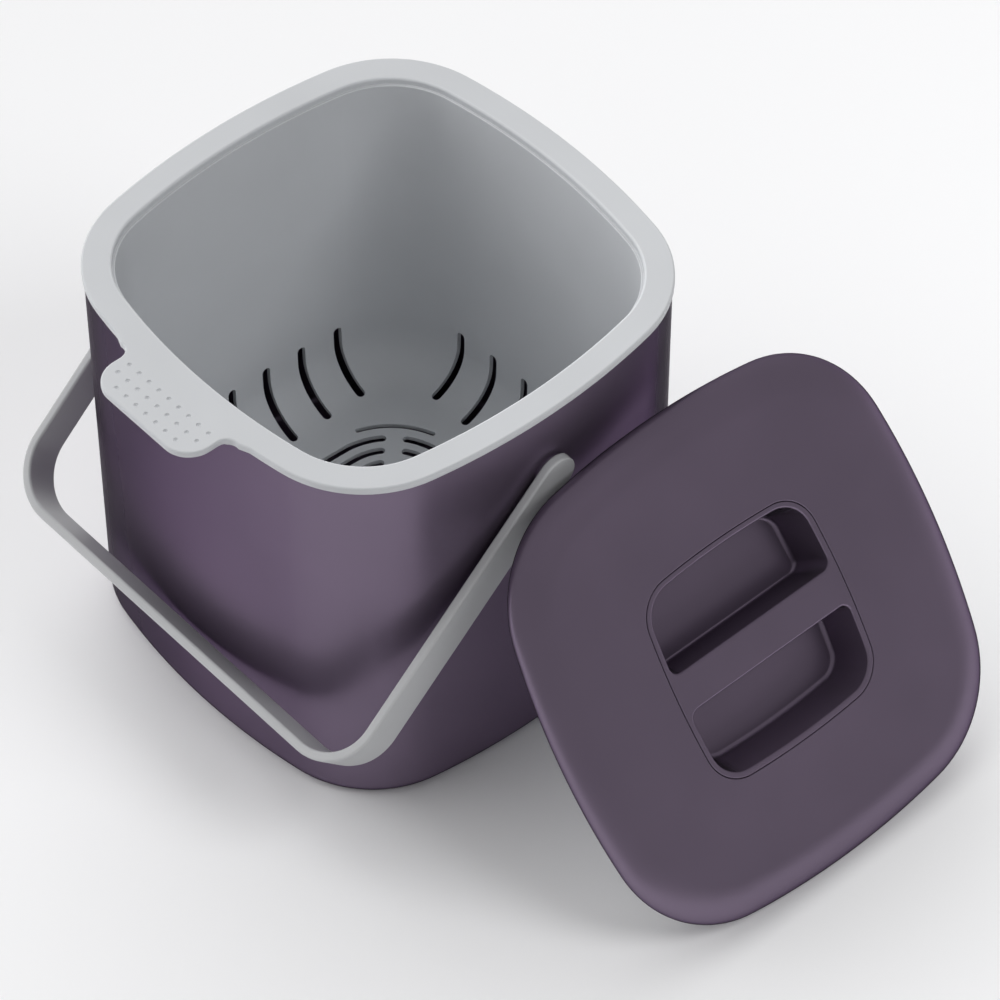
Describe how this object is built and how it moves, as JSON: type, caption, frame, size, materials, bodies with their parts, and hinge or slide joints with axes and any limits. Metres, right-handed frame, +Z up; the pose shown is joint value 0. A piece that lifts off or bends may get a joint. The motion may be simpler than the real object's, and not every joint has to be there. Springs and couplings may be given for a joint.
{
  "type": "compost caddy",
  "caption": "Kitchen compost caddy with a lift-out slotted strainer bucket, a swinging strap handle and a lift-off lid with a recessed finger grip.",
  "frame": {"origin": "centre of the outer bucket's flat base, on the floor it stands on", "axes": "+Z up; -Y towards the finger tab and the hanging handle; the handle's pivots lie along X and the lid leans on the +X side"},
  "size_m": [0.335, 0.2615, 0.187],
  "materials": {
    "body_plum": "pearl satin",
    "strainer_grey": "fine matt",
    "handle_grey": "fine matt",
    "seal_soft": "matt"
  },
  "bodies": {
    "bucket": {"outer_bucket": "body_plum", "pivot_stud_right": "handle_grey", "pivot_stud_left": "handle_grey"},
    "strainer": {"inner_bucket": "strainer_grey"},
    "handle": {"carry_handle": "handle_grey"},
    "lid": {"lid_shell": "body_plum", "lid_grip": "body_plum", "lid_liner": "strainer_grey", "lid_seal": "seal_soft"}
  },
  "joints": [
    {"name": "handle_swing", "type": "hinge", "parent": "bucket", "child": "handle", "pos_m": [0, 0, 0.152], "axis": [-1, 0, 0], "range_deg": [0, 266]},
    {"name": "inner_lift", "type": "slide", "parent": "bucket", "child": "strainer", "axis": [0, 0, 1], "range_m": [0, 0.19]},
    {"name": "lid_lift", "type": "slide", "parent": "bucket", "child": "lid", "axis": [0.5, 0, 0.866], "range_m": [0, 0.2]}
  ]
}
